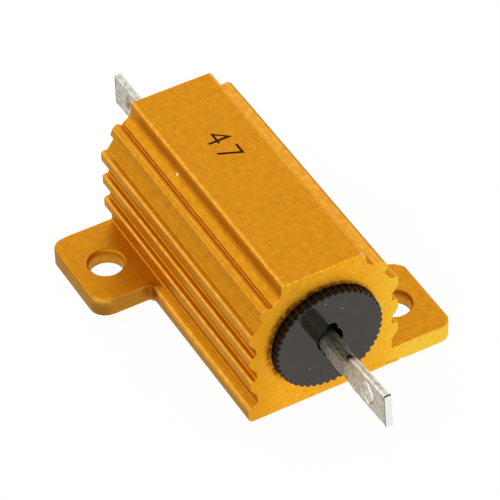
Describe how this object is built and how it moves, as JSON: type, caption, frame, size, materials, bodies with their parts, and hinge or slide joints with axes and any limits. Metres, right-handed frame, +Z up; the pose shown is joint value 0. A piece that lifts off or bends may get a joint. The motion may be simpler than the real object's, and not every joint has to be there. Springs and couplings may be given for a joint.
{
  "type": "aluminium housed resistor",
  "caption": "Wirewound power resistor in a finned gold-anodised aluminium housing with diagonal screw-down feet, knurled black end caps and a flat solder tab with an eyelet at each end.",
  "frame": {"origin": "centre of the housing's base, on the mounting surface", "axes": "+X along the body and the terminals, +Y towards the foot at the +X end, +Z up from the mounting surface"},
  "size_m": [0.0516, 0.0274, 0.0154],
  "materials": {
    "gold_anodised": "satin gold anodised extrusion",
    "cap_plastic": "glossy black, straight knurled rim",
    "tinned_metal": "tin plated",
    "ferrule_steel": "plain",
    "core_ceramic": "unglazed",
    "resistance_wire": "drawn wire",
    "filling_compound": "moulded silicone compound"
  },
  "bodies": {
    "root": {"housing": "gold_anodised", "end_cap_front": "cap_plastic", "end_cap_rear": "cap_plastic", "terminal_front": "tinned_metal", "terminal_rear": "tinned_metal", "ferrule_front": "ferrule_steel", "ferrule_rear": "ferrule_steel", "ceramic_core": "core_ceramic", "resistance_winding": "resistance_wire", "insulating_filling": "filling_compound"}
  },
  "joints": []
}
